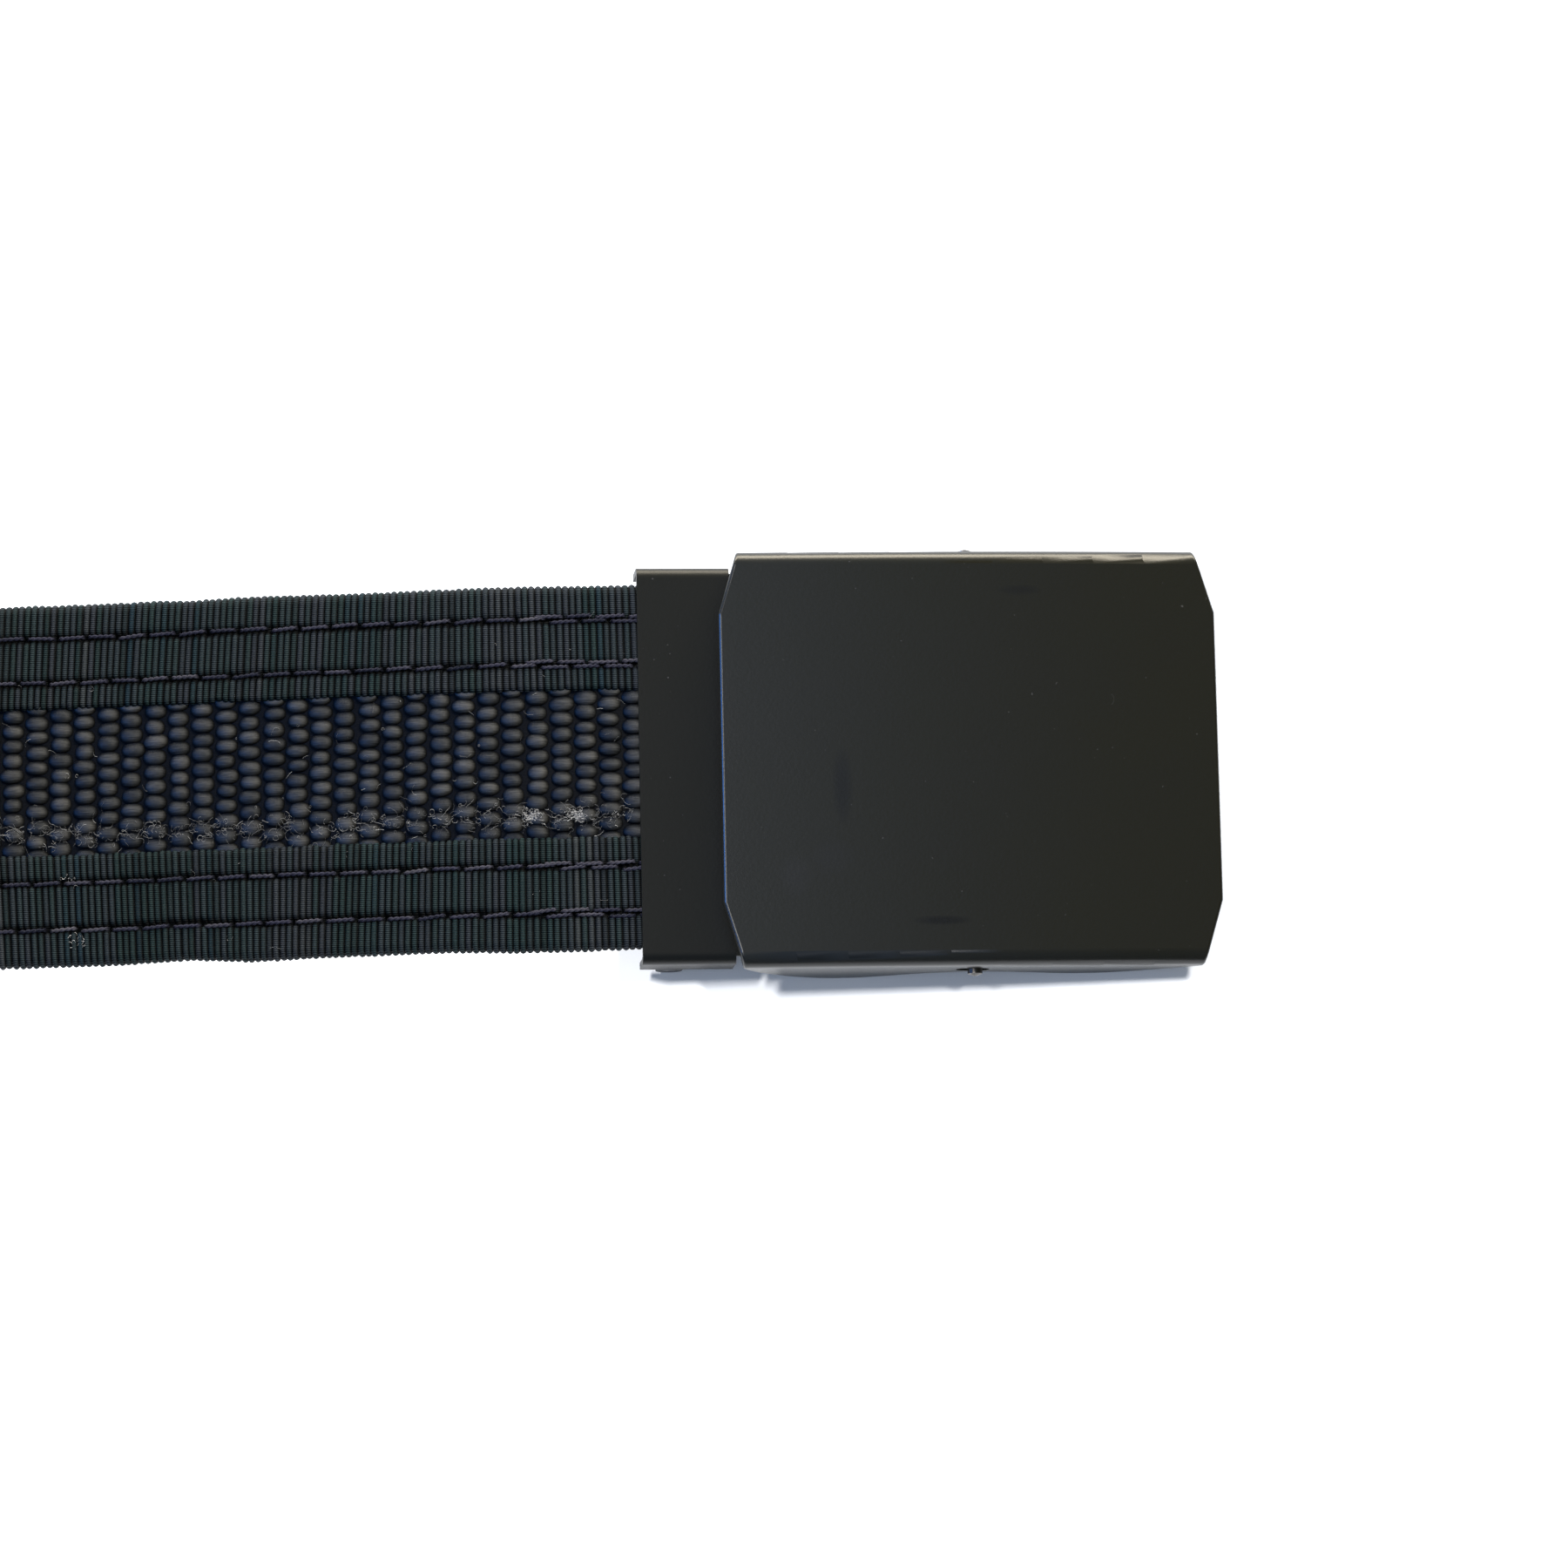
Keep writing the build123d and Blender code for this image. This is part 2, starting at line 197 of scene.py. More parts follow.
class Paint:
    """A material's nodes, read from its object's own coordinates."""

    def __init__(self, name):
        self.material = bpy.data.materials.new(name)
        self.material.use_nodes = True
        self.tree = self.material.node_tree
        self.shader = self.tree.nodes["Principled BSDF"]
        self.place = self.node("ShaderNodeTexCoord").outputs["Object"]

    def node(self, kind, **settings):
        made = self.tree.nodes.new(kind)
        for key, value in settings.items():
            setattr(made, key, value)
        return made

    def put(self, socket, value):
        """Links an output to a socket, or sets the socket to a constant."""
        if isinstance(value, bpy.types.NodeSocket):
            self.tree.links.new(value, socket)
        else:
            socket.default_value = value

    def math(self, operation, *values):
        made = self.node("ShaderNodeMath", operation=operation)
        for socket, value in zip(made.inputs, values):
            self.put(socket, value)
        return made.outputs[0]

    def dot(self, direction):
        made = self.node("ShaderNodeVectorMath", operation="DOT_PRODUCT")
        self.put(made.inputs[0], self.place)
        made.inputs[1].default_value = direction
        return made.outputs["Value"]

    def noise(self, per_mm, detail=3.0, roughness=0.5):
        """Noise with a number of features to the mm along each axis."""
        scaled = self.node("ShaderNodeVectorMath", operation="MULTIPLY")
        self.put(scaled.inputs[0], self.place)
        scaled.inputs[1].default_value = Vector(per_mm) / MM
        made = self.node("ShaderNodeTexNoise")
        self.put(made.inputs["Vector"], scaled.outputs[0])
        made.inputs["Scale"].default_value = 1.0
        made.inputs["Detail"].default_value = detail
        made.inputs["Roughness"].default_value = roughness
        return made.outputs["Fac"]

    def ramp(self, value, *stops):
        """Grey levels or colours between stops, by a value."""
        made = self.node("ShaderNodeValToRGB")
        self.put(made.inputs[0], value)
        set_stops(made.color_ramp, stops)
        return made.outputs["Color"]

    def blend(self, share, first, second):
        made = self.node("ShaderNodeMix", data_type="RGBA")
        self.put(made.inputs["Factor"], share)
        for socket, colour in (made.inputs[6], first), (made.inputs[7], second):
            self.put(socket, (*colour, 1) if isinstance(colour, tuple) else colour)
        return made.outputs[2]

    def bump(self, height, distance, strength=1.0, over=None):
        """A bump of a height from 0 to 1, distance in mm, laid over another bump."""
        made = self.node("ShaderNodeBump")
        made.inputs["Strength"].default_value = strength
        made.inputs["Distance"].default_value = distance * MM
        self.put(made.inputs["Height"], height)
        if over is not None:
            self.put(made.inputs["Normal"], over)
        return made.outputs["Normal"]

    def level(self, name):
        """A level that add_piece() stored at each point: the tint, or the painted shade level."""
        return self.node("ShaderNodeAttribute", attribute_name=name).outputs["Fac"]

    def shaded(self, colour, *shades):
        """A colour multiplied by shades."""
        for shade in shades:
            made = self.node("ShaderNodeMix", data_type="RGBA", blend_type="MULTIPLY")
            made.inputs["Factor"].default_value = 1.0
            self.put(made.inputs[6], colour)
            self.put(made.inputs[7], shade)
            colour = made.outputs[2]
        return colour

    def finish(self, colour, roughness, normal, **constants):
        """Sets the shader; a constant's name is its socket's, with _ for each space."""
        self.put(self.shader.inputs["Base Color"], colour)
        self.put(self.shader.inputs["Roughness"], roughness)
        self.put(self.shader.inputs["Normal"], normal)
        for name, value in constants.items():
            self.shader.inputs[name.replace("_", " ")].default_value = value
        return self.material


# ---- Cloth materials ----
def yarn_material(name, stops, filament, deep, roughness, shine):
    """Fine filaments along the strap over a colour that follows the piece's own levels, darkened in
    crevices by painted shade.
    """
    paint = Paint(name)
    fine = paint.noise((0.5, filament, 0.5), detail=4.0, roughness=0.6)
    broad = paint.noise((0.35, 0.35, 0.35), detail=2.0)
    level = paint.math("MULTIPLY_ADD", broad, 0.5, -0.25)
    level = paint.math("ADD", paint.level("tint"), level)
    level = paint.math("ADD", level, paint.math("MULTIPLY_ADD", fine, 0.4, -0.2))
    # The colour is multiplied by the filaments' grain and by the piece's painted shade level.
    colour = paint.shaded(
        paint.ramp(level, *stops),
        paint.ramp(fine, (0.3, 0.45), (0.7, 1.15)),
        paint.ramp(paint.level("painted_shading"), (0.2, 0.02), (1.0, 1.0)),
    )
    rough = paint.math("MULTIPLY_ADD", fine, 0.25, roughness)
    normal = paint.bump(fine, deep)
    return paint.finish(
        colour,
        rough,
        normal,
        Specular_IOR_Level=0.12,
        Sheen_Weight=shine,
        Sheen_Roughness=0.4,
    )


webbing = yarn_material(
    "webbing",
    [
        (0.1, (0.012, 0.014, 0.017)),
        (0.5, (0.034, 0.034, 0.032)),
        (0.9, (0.080, 0.076, 0.068)),
    ],
    filament=9.0,
    deep=0.06,
    roughness=0.38,
    shine=0.0,
)
# Painted shade: the base yarn is made far darker than the loops, as shade in the gaps between them.
webbing_base_painted_shade = yarn_material(
    "webbing_base_painted_shade",
    [(0.2, (0.0010, 0.0011, 0.0016)), (0.8, (0.0030, 0.0034, 0.0044))],
    filament=5.0,
    deep=0.1,
    roughness=0.6,
    shine=0.0,
)
thread = yarn_material(
    "thread",
    [
        (0.1, (0.007, 0.009, 0.020)),
        (0.5, (0.030, 0.030, 0.052)),
        (0.9, (0.080, 0.076, 0.095)),
    ],
    filament=12.0,
    deep=0.05,
    roughness=0.4,
    shine=0.04,
)
lint = yarn_material(
    "lint",
    [(0.1, (0.10, 0.10, 0.10)), (0.9, (0.90, 0.89, 0.87))],
    filament=12.0,
    deep=0.01,
    roughness=0.5,
    shine=0.3,
)


def tape_material():
    """Ribbed tape: ribs dark slate, green and violet in turn, crossed by fine weft."""
    paint = Paint("tape")
    weft_pitch = 0.27
    across = paint.dot((0, 1, 0))
    weft = paint.math("SINE", paint.math("MULTIPLY", across, 2 * pi / (weft_pitch * MM)))
    weft = paint.math("MULTIPLY_ADD", weft, 0.5, 0.5)
    grain = paint.noise((2.5, 6.0, 2.5), detail=3.0)
    broad = paint.noise((0.25, 0.06, 0.25), detail=2.0)
    level = paint.math("MULTIPLY_ADD", broad, 0.5, -0.25)
    level = paint.math("ADD", paint.level("tint"), level)
    ribs = paint.ramp(
        level,
        (0.05, (0.014, 0.031, 0.043)),
        (0.3, (0.018, 0.034, 0.034)),
        (0.5, (0.025, 0.037, 0.042)),
        (0.7, (0.030, 0.036, 0.045)),
        (0.95, (0.046, 0.053, 0.056)),
    )
    # Painted shade: the ribs' colour is multiplied by the tape's painted shade level, darkest in the
    # gaps between ribs.
    colour = paint.shaded(
        ribs,
        paint.ramp(paint.math("MULTIPLY", weft, grain), (0.05, 0.35), (0.5, 1.3)),
        paint.ramp(paint.level("painted_shading"), (0.25, 0.02), (0.9, 1.0)),
    )
    rough = paint.math("MULTIPLY_ADD", grain, 0.3, 0.42)
    normal = paint.bump(grain, 0.05, over=paint.bump(weft, 0.06))
    return paint.finish(
        colour,
        rough,
        normal,
        Specular_IOR_Level=0.08,
        Sheen_Weight=0.01,
        Sheen_Roughness=0.4,
    )


tape = tape_material()


# ---- Core of the strap: a base, with a shell-shaped loop of yarn for each float ----
upper_tape_edge = strap_width / 2 - 14.6
lower_tape_edge = 15.4 - strap_width / 2
column_pitch = 3.25
bead_pitch = 2.04
bead_rows = 11
bead_half_length, bead_half_width = 1.56, 1.13
bead_foot, bead_height = 0.20, 1.13
bead_top, bead_sink = 1.40, 0.55

base_half_thick = 0.35
base_s = np.append(np.arange(0, strap_length, 1.5), strap_length)
base_t = np.array([-24.2, -12.0, 0.0, 12.0, 24.2, 24.2, 12.0, 0.0, -12.0, -24.2])
base_h = np.repeat([base_half_thick, -base_half_thick], 5)
base_faces = tube_faces(len(base_s), len(base_t))
# The base has a tint of 0.5 and a painted shade level of 0.5, which darkens it further.
core = add_piece(
    "core_base",
    lay(base_s[:, None], base_t, base_h),
    [face[::-1] for face in base_faces],
    np.full((2, len(base_s) * len(base_t)), 0.5),
    webbing_base_painted_shade,
)
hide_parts("core_webbing")


def loops(name, first, last, side, along, across):
    """Shell-shaped loops of yarn in staggered columns, on the front (side 1) or the back (-1).

    Each loop is a grid of along by across points, and a loop under a tape's edge lies lower."""
    columns = np.arange(first, last)
    place = np.stack(np.meshgrid(columns, np.arange(bead_rows), indexing="ij"), -1)
    place = place.reshape(-1, 2)
    count = len(place)
    size = rng.normal(1, 0.05, (4, count))
    slant = rng.normal(0, 0.05, count)
    s_mid = column_pitch * (place[:, 0] + 0.5) + rng.normal(0, 0.09, count)
    t_low = lower_tape_edge - 0.15 + bead_pitch / 2 * (place[:, 0] % 2)
    t_mid = t_low + bead_pitch * place[:, 1] + rng.normal(0, 0.06, count)
    x = np.sin(np.linspace(-1, 1, along) * pi / 2)[None, :, None]
    y = np.sin(np.linspace(-1, 1, across) * pi / 2)[None, None, :]
    outline = (1 - np.abs(x) ** 2.4) ** 0.55 * 0.86 + 0.14
    tall = (1 - x**2) ** 0.55 * (1 - y**2) ** 0.55 * (1 - 0.12 * y) * (1 - 0.2 * x)
    one = size[:, :, None, None]
    s = s_mid[:, None, None] + bead_half_length * one[0] * x
    t = t_mid[:, None, None] + bead_half_width * one[1] * outline * y - 0.14 * tall
    t = t + slant[:, None, None] * x
    h = bead_foot + bead_height * one[2] * tall
    under = np.clip((t - upper_tape_edge + 0.5) / 0.5, 0, 1)
    under = under + np.clip((lower_tape_edge + 0.4 - t) / 0.5, 0, 1)
    h = np.minimum(h, bead_top - bead_sink * under)
    shade = np.clip(size[3] * 5 - 4.5, 0, 1)[:, None, None]
    # Painted highlight and shade: a loop's tint is lighter towards its top, besides a random tone per
    # loop, and its painted shade level follows its height, darkest at its foot.
    tint = 0.45 * shade + 0.25 * tall + 0.12
    levels = np.broadcast_to(tint, t.shape), np.broadcast_to(tall, t.shape)
    faces = grid_faces(count, along, across)
    if side > 0:
        faces = [face[::-1] for face in faces]
    return add_piece(name, lay(s, t, side * h), faces, levels, webbing)


# The part before the roll is finer than the roll, and ends a little before it.
run_length = roll_start - 12
run_columns = int(run_length / column_pitch)
all_columns = int(strap_length / column_pitch)
beads = [
    loops("run_front_loops", 0, run_columns, 1, 13, 9),
    loops("run_back_loops", 0, run_columns, -1, 7, 5),
    loops("roll_front_loops", run_columns, all_columns, 1, 6, 5),
    loops("roll_back_loops", run_columns, all_columns, -1, 6, 5),
]

# ---- Edge tapes, folded round the strap's edges, with ribs across them ----
rib_pitch = 0.90
rib_count = int(strap_length / rib_pitch)
stitch_pitch = 4.2
row_places = {
    "upper_outer": strap_width / 2 - 4.9,
    "upper_inner": strap_width / 2 - 11.1,
    "lower_inner": 11.5 - strap_width / 2,
    "lower_outer": 5.1 - strap_width / 2,
}
stitch_count = int(strap_length / stitch_pitch) + 1
stitch_holes = {
    row: np.arange(stitch_count + 1) * stitch_pitch
    + rng.uniform(-4, 0)
    + rng.normal(0, 0.12, stitch_count + 1)
    for row in row_places
}


def tape_section(inner, row_a, row_b, fine):
    """The folded tape's outline from its front inner edge to the back one, then inside it.

    Gives t, h and the outward direction at each place, with t as on the upper edge. A plain
    outline has points only where the tape turns and beside the stitch rows a and b."""
    radius = 1.16
    fold = strap_width / 2 - 0.22 - radius
    if fine:
        flat = np.concatenate([[0.45], np.arange(0.9, fold - inner, 0.42)]) + inner
        back = flat[::3]
        turn = np.linspace(pi / 2, -pi / 2, 9)
    else:
        near = [inner + 0.5, row_b - 0.8, row_b, row_b + 0.8, row_a - 0.8, row_a, row_a + 0.8]
        flat = back = np.array(near)
        turn = np.linspace(pi / 2, -pi / 2, 5)
    t = np.concatenate([[inner + 0.05], flat, fold + radius * np.cos(turn), back[::-1]])
    h = np.concatenate([[0.85], np.full(len(flat), radius), radius * np.sin(turn)])
    h = np.concatenate([h, np.full(len(back), -radius)])
    out_t = np.concatenate([[-0.7], np.zeros(len(flat)), np.cos(turn), np.zeros(len(back))])
    out_h = np.concatenate([[0.3], np.ones(len(flat)), np.sin(turn), -np.ones(len(back))])
    t = np.concatenate([t, [inner + 0.05, inner + 0.2, fold + 0.6, inner + 0.2]])
    h = np.concatenate([h, [-0.85, -0.5, 0.0, 0.5]])
    out_t = np.concatenate([out_t, [-0.7, 0, 0, 0]])
    out_h = np.concatenate([out_h, [-0.3, 0, 0, 0]])
    return t, h, out_t, out_h


rib_tint = {}
for edge in "upper", "lower":
    tint = 0.5 + rng.normal(0, 0.14, rib_count)
    tint = tint + drift(np.arange(rib_count), 9, 0.14)
    rib_tint[edge] = np.clip(tint, 0, 1)


def edge_tape(name, edge, first, last, steps, fine):
    """A closed stretch of edge tape from one rib to another, drawn at some steps of each rib."""
    way = 1 if edge == "upper" else -1
    inner = way * (upper_tape_edge if way > 0 else lower_tape_edge)
    row_a, row_b = way * row_places[f"{edge}_outer"], way * row_places[f"{edge}_inner"]
    t, h, out_t, out_h = tape_section(inner, row_a, row_b, fine)
    ribs = np.arange(first, last)
    phase = np.tile(steps, len(ribs))
    rib = np.repeat(ribs, len(steps))
    phase, rib = np.append(phase, steps[0]), np.append(rib, ribs[-1])
    middle = rib_pitch * (ribs + 0.5) + rng.normal(0, 0.03, len(ribs))
    s = np.append(np.repeat(middle, len(steps)), middle[-1] + rib_pitch)
    s = s + phase * rib_pitch
    s = np.clip(s, 0, strap_length)[:, None]
    across = np.minimum(strap_width / 2 - t, 16.0)
    lean = drift(s[:, 0], 25, 0.035)[:, None] + 0.035
    s_here = s + lean * (across - 7)
    swell = np.repeat(rng.normal(1, 0.1, len(ribs) + 1), len(steps))[: len(phase)]
    crest = (np.clip(np.cos(pi * phase), 0, 1) ** 0.8 * swell)[:, None]
    flat = np.abs(out_h) > 0.9
    sunk = np.zeros_like(s_here)
    for row, place in (f"{edge}_outer", row_a), (f"{edge}_inner", row_b):
        holes = stitch_holes[row]
        hole_after = np.searchsorted(holes, s_here)
        after = holes[np.clip(hole_after, 1, len(holes) - 1)]
        before = holes[np.clip(hole_after - 1, 0, len(holes) - 1)]
        gap = np.minimum(np.abs(after - s_here), np.abs(s_here - before))
        pull = np.exp(-(((t - place) / 0.5) ** 2)) * flat
        hole = np.exp(-((gap / 0.55) ** 2))
        sunk = sunk + pull * (0.30 + 0.35 * hole)
        crest = crest * (1 - 0.55 * pull)
    edge_wave = drift(s[:, 0], 9, 0.14)[:, None] * np.clip((t - inner) / 10, 0, 1)
    selvedge = np.where(t < inner + 0.6, drift(s[:, 0], 1.2, 0.09)[:, None], 0)
    out = 0.33 * crest - 0.10 - sunk
    # Painted shade level: dark between the ribs and where the stitches pull the tape down.
    painted_shading = np.clip(crest - 1.2 * sunk, 0, 1)
    taper = 0.25 * np.clip((s - 20) / 80, 0, 1) * np.clip((t - inner) / 10, 0, 1)
    t_here = t + out * out_t + np.minimum(edge_wave, 0.12) - taper + selvedge
    h_here = h + out * out_h
    faces = tube_faces(*s_here.shape)
    if way > 0:
        faces = [face[::-1] for face in faces]
    levels = np.broadcast_to(rib_tint[edge][rib][:, None], painted_shading.shape), painted_shading
    return add_piece(name, lay(s_here, way * t_here, h_here), faces, levels, tape)


run_ribs = int(run_length / rib_pitch)
fine_steps = np.array([-0.5, -0.4, -0.22, 0.0, 0.22, 0.4])
plain_steps = np.array([-0.5, -0.2, 0.2])
for edge in "upper", "lower":
    front = edge_tape(f"{edge}_tape_run", edge, 0, run_ribs, fine_steps, True)
    rolled = edge_tape(f"{edge}_tape_roll", edge, run_ribs, rib_count, plain_steps, False)
    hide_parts(f"{edge}_edge_binding")
    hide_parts(f"{edge}_edge_binding")


# ---- Stitches: a two-ply twisted thread from hole to hole ----
ply_radius = 0.165
ply_offset_t, ply_offset_h = 0.135, 0.10
twist_pitch = 1.55
needle_height, bobbin_height = 1.24, 1.08
back_tack_end = sleeve_run + 12.5


def tubes(s, t, h, radius, sides):
    """Round tubes along rows of points, as grids whose last column meets the first."""
    turn = np.linspace(0, 2 * pi, sides, endpoint=False)
    shape = (*s.shape, sides)
    s = np.broadcast_to(s[..., None], shape)
    return s, t[..., None] + radius * np.cos(turn), h[..., None] + radius * np.sin(turn)


def stitches(row, side, name):
    """One row of lockstitch on the front (side 1) or the back (side -1).

    The front is sewn twice where the back-tack is, beside the sleeve."""
    holes = stitch_holes[row] + (0 if side > 0 else 0.3)
    inside = (holes[:-1] > 0.3) & (holes[1:] < strap_length - 0.3)
    first, last = holes[:-1][inside], holes[1:][inside]
    shift = np.zeros(len(first))
    level = 0.5 + rng.normal(0, 0.16, len(first))
    tack = last < back_tack_end
    if side > 0:
        shift[tack] = -0.33
        again = np.flatnonzero(tack)
        first = np.append(first, first[again] + 1.9)
        last = np.append(last, last[again] + 2.1)
        shift = np.append(shift, np.full(len(again), 0.36))
        level = np.append(level, level[again] + 0.12)
    near = last < roll_start - 10
    points, faces, tints, painted_shadings, used = [], [], [], [], 0
    # Stitches before the roll have more rings and sides than those in it.
    for group, rings, sides in (near, 17, 6), (~near, 7, 4):
        count = int(group.sum())
        a = np.linspace(0, 1, rings)[None, None, :]
        s0, s1 = first[group][None, :, None], last[group][None, :, None]
        wander = rng.normal(0, 0.09, (2, 1, count, 1))
        s_mid = s0 + (s1 - s0) * (0.03 + 0.94 * a)
        dive = 1 - np.clip(np.minimum(a, 1 - a) / 0.13, 0, 1)
        t_mid = row_places[row] + shift[group][None, :, None] + (0.11 - 0.22 * a)
        t_mid = t_mid + wander[0] * (1 - a) + wander[1] * a
        height = needle_height if side > 0 else bobbin_height
        h_mid = height - 0.75 * dive**2 + 0.10 * np.sin(pi * a)
        ply = np.array([0, pi])[:, None, None]
        twist = 2 * pi * (s_mid / twist_pitch) + ply
        t_ply = t_mid + ply_offset_t * np.cos(twist)
        h_ply = side * (h_mid + ply_offset_h * np.sin(twist))
        s_ply = np.broadcast_to(s_mid, t_ply.shape)
        s_all, t_all, h_all = tubes(s_ply, t_ply, h_ply, ply_radius, sides)
        points.append(lay(s_all, t_all, h_all))
        grids = np.array(grid_faces(2 * count, rings, sides, closed=True)) + used
        faces += grids.tolist()
        shades = np.broadcast_to(level[group][None, :, None, None], s_all.shape)
        tints.append(shades.ravel())
        # Painted shade: a stitch's thread is darker where it dives into its holes.
        dive_shading = (1 - 0.8 * dive)[..., None]
        painted_shadings.append(np.broadcast_to(dive_shading, s_all.shape).ravel())
        used += s_all.size
    levels = np.concatenate(tints), np.concatenate(painted_shadings)
    return add_piece(name, np.concatenate(points), faces, levels, thread)


for row in row_places:
    for label, side in ("needle", 1), ("bobbin", -1):
        made = stitches(row, side, f"{row}_{label}_stitches")
        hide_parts(f"{row}_{label}_thread")


# ---- Lint and frayed filaments where the lower tape meets the webbing ----
def fibres(name, count, s_low, s_high, t_mid, t_spread, tufts):
    """Loose curly filaments on the strap's front, with tufts of paler ones.

    Each tuft is (s, t, share of the filaments)."""
    steps = 9
    s0 = rng.uniform(s_low, s_high, count)
    t0 = t_mid + rng.normal(0, t_spread, count)
    white = rng.uniform(0, 0.35, count)
    tight = np.ones(count)
    for s_tuft, t_tuft, share in tufts:
        chosen = rng.random(count) < share
        s0 = np.where(chosen, s_tuft + rng.normal(0, 0.7, count), s0)
        t0 = np.where(chosen, t_tuft + rng.normal(0, 0.4, count), t0)
        white = np.where(chosen, rng.uniform(0.4, 1.0, count), white)
        tight = np.where(chosen, 0.5, tight)
    angle = rng.uniform(0, 2 * pi, count)
    curl = rng.normal(0, 0.45, count)
    stride = rng.uniform(0.08, 0.24, count) * tight
    s, t, h = [s0], [t0], [rng.uniform(1.15, 1.35, count)]
    for _ in range(steps - 1):
        angle = angle + curl + rng.normal(0, 0.25, count)
        s.append(s[-1] + stride * np.cos(angle))
        t.append(t[-1] + stride * np.sin(angle))
        h.append(np.clip(h[-1] + rng.normal(0, 0.06, count), 1.1, 1.55))
    s, t, h = (np.stack(v, axis=1) for v in (s, t, h))
    thick = rng.uniform(0.018, 0.042, count)[:, None, None]
    s_all, t_all, h_all = tubes(s, t, h, thick, 3)
    faces = grid_faces(count, steps, 3, closed=True)
    pale = np.broadcast_to(white[:, None, None], s_all.shape)
    levels = pale, np.ones(s_all.shape)
    return add_piece(name, lay(s_all, t_all, h_all), faces, levels, lint)


fibres(
    "frayed_filaments",
    900,
    sleeve_run,
    sleeve_run + 100,
    lower_tape_edge + 2.7,
    0.9,
    [
        (sleeve_run + 12.8, lower_tape_edge + 3.0, 0.14),
        (sleeve_run + 7.0, lower_tape_edge + 3.0, 0.12),
        (sleeve_run + 1.5, lower_tape_edge + 3.0, 0.01),
    ],
)
fibres(
    "lint",
    130,
    sleeve_run,
    sleeve_run + 110,
    0.0,
    11.0,
    [(sleeve_run + 74.5, -21.3, 0.3), (sleeve_run + 75.5, -13.0, 0.08)],
)


# ---- Metal pieces keep their CAD shape and get a material each ----
def black_coat(name, colour, second, grain, roughness, shine, marks):
    """Satin black coat: a fine orange-peel surface with smudges, rubs, scratches and dust."""
    paint = Paint(name)
    peel = paint.noise((2.2, 2.2, 2.2), detail=2.0)
    fine = paint.noise((9.0, 9.0, 9.0), detail=3.0)
    cloud = paint.noise((0.035, 0.05, 0.05), detail=3.0, roughness=0.6)
    specks = paint.ramp(paint.noise((1.5, 1.5, 1.5), detail=1.0), (0.79, 0.0), (0.82, 1.0))
    base = paint.blend(paint.ramp(cloud, (0.3, 0.0), (0.7, 1.0)), colour, second)
    base = paint.blend(paint.math("MULTIPLY", specks, 0.25), base, (0.16, 0.15, 0.14))
    rough = paint.math("MULTIPLY_ADD", cloud, 0.08, roughness)
    rough = paint.math("ADD", rough, paint.math("MULTIPLY_ADD", fine, 0.1, -0.05))
    for (u, y), (long, wide), soft, shade, dull in marks:
        centre = buckle + u * u_axis + np.array([0, y, 0])
        along = paint.dot(tuple(u_axis / (long * MM)))
        along = paint.math("SUBTRACT", along, float(centre @ u_axis) / long)
        over = paint.math("SUBTRACT", paint.dot((0, 1 / (wide * MM), 0)), y / wide)
        far = paint.math("ADD", paint.math("POWER", along, 2.0), paint.math("POWER", over, 2.0))
        if soft:
            far = paint.math("ADD", far, paint.math("MULTIPLY_ADD", fine, 0.5, -0.25))
        else:
            far = paint.math("ABSOLUTE", paint.math("SUBTRACT", far, 1.0))
            far = paint.math("MULTIPLY", far, 14.0)
            side = paint.math("LESS_THAN", along, 0.1)
            far = paint.math("ADD", far, paint.math("MULTIPLY", side, 2.0))
        mask = paint.ramp(far, (0.1, 1.0), (1.0, 0.0))
        base = paint.blend(paint.math("MULTIPLY", mask, 0.8), base, shade)
        rough = paint.math("ADD", rough, paint.math("MULTIPLY", mask, dull))
    normal = paint.bump(fine, 0.006, over=paint.bump(peel, 0.02, strength=grain))
    return paint.finish(base, rough, normal, Specular_IOR_Level=shine)


# Each mark is (u, y) of its middle, (half length, half width), whether it is a soft smudge and
# not a curved scratch, its colour, and how much duller it is than the coat. Lengths are in mm.
plate_marks = [
    ((-17.5, -4.0), (1.5, 5.5), True, (0.0012, 0.0012, 0.0010), 0.0),
    ((-4.5, -22.2), (4.2, 0.7), True, (0.0006, 0.0005, 0.0004), -0.03),
    ((19.0, 7.6), (0.45, 0.7), False, (0.06, 0.06, 0.056), 0.1),
    ((7.0, 22.5), (3.2, 0.8), True, (0.0024, 0.0023, 0.0016), 0.0),
    ((-19.0, -13.5), (3.4, 2.6), True, (0.0036, 0.0035, 0.0022), 0.03),
    ((-24.0, -16.0), (2.4, 3.2), True, (0.0040, 0.0039, 0.0028), 0.04),
]
black_plate = black_coat(
    "black_plate", (0.0068, 0.0064, 0.0030), (0.0050, 0.0047, 0.0022), 0.5, 0.27, 0.36, plate_marks
)
black_frame = black_coat(
    "black_frame", (0.0036, 0.0036, 0.0016), (0.0028, 0.0028, 0.0012), 0.5, 0.38, 0.22, []
)


def dark_steel():
    """Blackened steel, brushed round, with paler worn patches."""
    paint = Paint("dark_steel")
    brushed = paint.noise((6.0, 1.2, 6.0), detail=4.0)
    worn = paint.noise((0.4, 0.4, 0.4), detail=3.0, roughness=0.65)
    colour = paint.blend(
        paint.ramp(worn, (0.4, 0.0), (0.68, 1.0)), (0.05, 0.048, 0.045), (0.24, 0.22, 0.20)
    )
    rough = paint.math("MULTIPLY_ADD", brushed, 0.3, 0.25)
    return paint.finish(colour, rough, paint.bump(brushed, 0.01), Metallic=1.0)


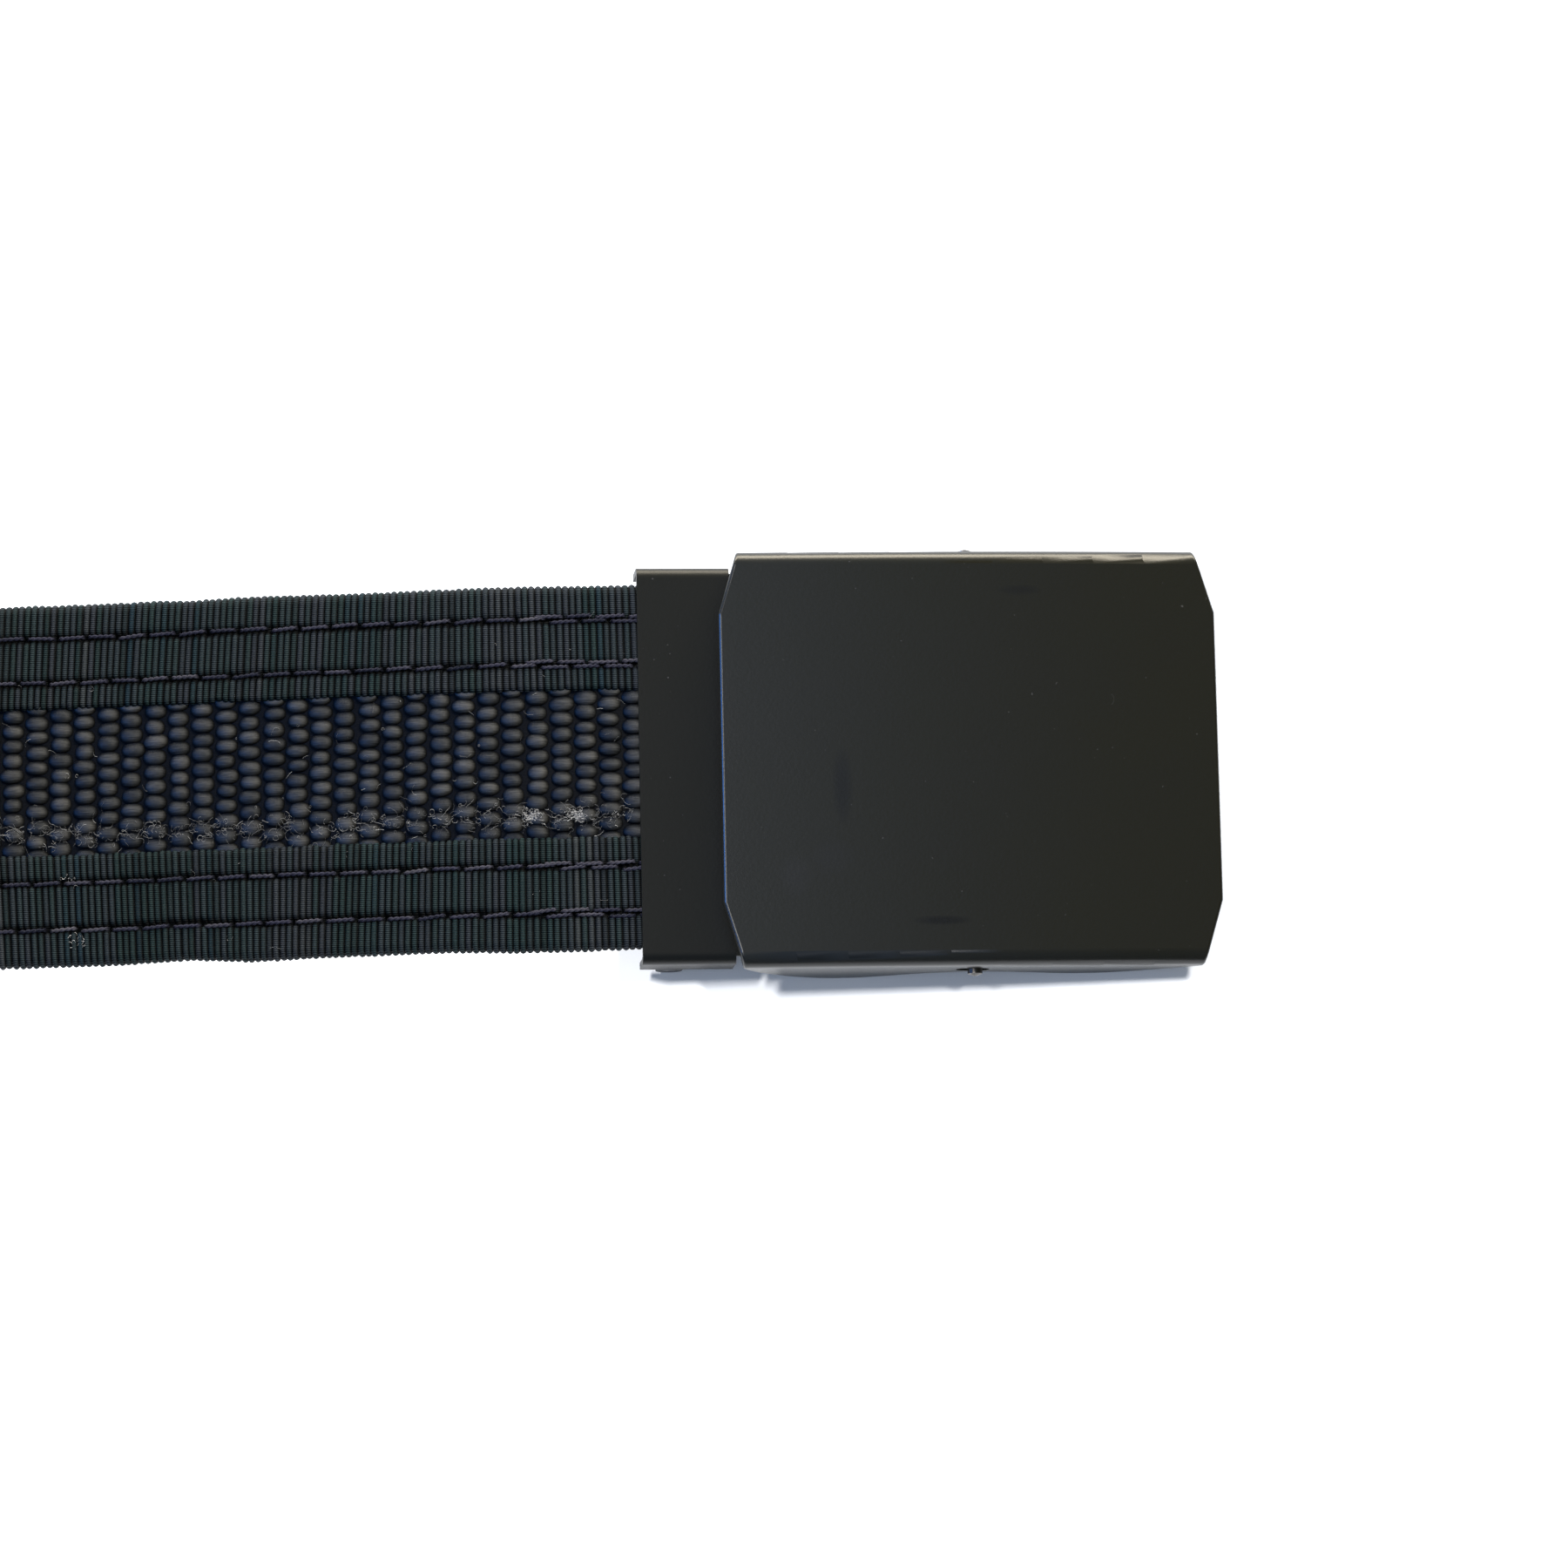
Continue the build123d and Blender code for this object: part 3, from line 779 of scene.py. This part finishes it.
steel = dark_steel()
metal_nodes = {
    "face_plate": black_plate,
    "back_frame": black_frame,
    "end_clamp": black_frame,
    "belt_tip": black_plate,
    "roller_axle": steel,
    "locking_roller": steel,
    "clamp_pin": steel,
}
for node, material in metal_nodes.items():
    mesh = frame["nodes"][node].data
    mesh.materials.clear()
    mesh.materials.append(material)

# ---- Floor, light and camera ----
# The camera and the lamps face a place on the floor, a little left of the buckle's middle.
target = Vector(buckle * MM) + Vector((-0.0251, -0.0015, -buckle[2] * MM))
floor_half = 3.0

floor_paint = Paint("floor")
floor_grain = floor_paint.noise((0.02, 0.02, 0.02), detail=2.0)
floor_colour = floor_paint.ramp(floor_grain, (0.3, (0.93, 0.93, 0.935)), (0.7, (0.95, 0.95, 0.95)))
floor_material = floor_paint.finish(
    floor_colour,
    0.8,
    floor_paint.bump(floor_grain, 0.05),
    Specular_IOR_Level=0.1,
    Emission_Color=(1, 1, 1, 1),
    Emission_Strength=0.05,
)
floor_mesh = bpy.data.meshes.new("floor")
corners = (-1, -1), (1, -1), (1, 1), (-1, 1)
floor_mesh.from_pydata([(x * floor_half, y * floor_half, 0) for x, y in corners], [], [range(4)])
floor_mesh.materials.append(floor_material)
floor = bpy.data.objects.new("floor", floor_mesh)
scene.collection.objects.link(floor)


def collection(name, things):
    """A collection for light linking only; the scene doesn't hold it."""
    made = bpy.data.collections.new(name)
    for thing in things:
        made.objects.link(thing)
    return made


def softbox(name, place, size, power, colour, lights_up, shadows_of):
    """An area light at a place round the buckle, turned to face it, for some objects only."""
    lamp = bpy.data.lights.new(name, "AREA")
    lamp.shape = "RECTANGLE"
    lamp.size, lamp.size_y = size
    lamp.energy = power
    lamp.color = colour
    light = bpy.data.objects.new(name, lamp)
    light.location = target + Vector(place)
    light.rotation_euler = (-Vector(place)).to_track_quat("-Z", "Y").to_euler()
    light.light_linking.receiver_collection = lights_up
    light.light_linking.blocker_collection = shadows_of
    scene.collection.objects.link(light)


# Cloth, metal and floor have lamps of their own. The floor's lamps are blocked by metal only, so
# the strap throws no shadow, and each lamp lights what the buckle hides from the other.
belt_pieces = collection("belt_pieces", [o for o in scene.objects if o.type == "MESH" and o != floor])
metal_pieces = collection("metal_pieces", [frame["nodes"][node] for node in metal_nodes])
cloth = [o for o in belt_pieces.objects if o.name not in metal_pieces.objects]
cloth_pieces = collection("cloth_pieces", cloth)
shiny_pieces = collection("shiny_pieces", [*metal_pieces.objects, core, beads[0]])
floor_alone = collection("floor_alone", [floor])
softbox("key", (0.60, 0.40, 0.80), (0.35, 0.35), 15.0, (1.0, 0.97, 0.92), cloth_pieces, cloth_pieces)
softbox("dive_shading", (-0.42, 0.06, 1.05), (0.4, 0.4), 8.0, (1.0, 0.97, 0.92), metal_pieces, metal_pieces)
softbox("left", (-0.90, 0.1, 0.35), (0.3, 0.7), 14.0, (0.09, 0.32, 1.0), shiny_pieces, metal_pieces)
softbox("horizon", (0.0, 0.95, 0.20), (1.8, 0.38), 42.0, (1.0, 0.91, 0.74), metal_pieces, belt_pieces)
softbox("back", (0.0, 0.95, 0.20), (1.8, 0.38), 18.0, (1.0, 0.94, 0.82), cloth_pieces, belt_pieces)
for name, side in ("floor_lamp_left", -0.42), ("floor_lamp_right", 0.42):
    softbox(name, (side, 0.21, 1.1), (0.22, 0.08), 12.5, (1.0, 1.0, 1.0), floor_alone, metal_pieces)

world = bpy.data.worlds.new("studio")
world.use_nodes = True
sky = world.node_tree
# The studio's colour goes from left to right, and it is dimmer near the horizon.
direction = sky.nodes.new("ShaderNodeSeparateXYZ")
sky.links.new(sky.nodes.new("ShaderNodeTexCoord").outputs["Generated"], direction.inputs[0])
across_sky = sky.nodes.new("ShaderNodeValToRGB")
sky_stops = [
    (0.30, (0.20, 0.28, 0.46)),
    (0.53, (0.62, 0.84, 1.30)),
    (0.58, (0.31, 0.37, 0.41)),
    (0.62, (0.22, 0.23, 0.18)),
    (0.67, (0.32, 0.31, 0.20)),
    (0.95, (0.20, 0.19, 0.16)),
]
set_stops(across_sky.color_ramp, sky_stops)
shift = sky.nodes.new("ShaderNodeMath")
shift.operation = "MULTIPLY_ADD"
shift.inputs[1].default_value = shift.inputs[2].default_value = 0.5
sky.links.new(direction.outputs[0], shift.inputs[0])
sky.links.new(shift.outputs[0], across_sky.inputs[0])
up_sky = sky.nodes.new("ShaderNodeMapRange")
up_sky.inputs["From Max"].default_value = 0.7
up_sky.inputs["To Min"].default_value = 0.12
up_sky.inputs["To Max"].default_value = 1.0
sky.links.new(direction.outputs[2], up_sky.inputs[0])
sky.links.new(across_sky.outputs[0], sky.nodes["Background"].inputs["Color"])
sky.links.new(up_sky.outputs[0], sky.nodes["Background"].inputs["Strength"])
scene.world = world
scene.view_settings.view_transform = "Standard"

# The camera looks almost straight down, with a long lens.
yaw = radians(1.2)
rise = radians(81.0)
camera_distance = 0.850
right = Vector((cos(yaw), -sin(yaw), 0))
back = Vector((-sin(yaw) * cos(rise), -cos(yaw) * cos(rise), sin(rise)))
lens = bpy.data.cameras.new("camera")
lens.sensor_width = 36.0
lens.lens = 144.0
lens.clip_start, lens.clip_end = 0.05, 20.0
camera = bpy.data.objects.new("camera", lens)
turn = Matrix((right, back.cross(right), back)).transposed()
camera.matrix_world = Matrix.Translation(target + camera_distance * back) @ turn.to_4x4()
scene.collection.objects.link(camera)
scene.camera = camera
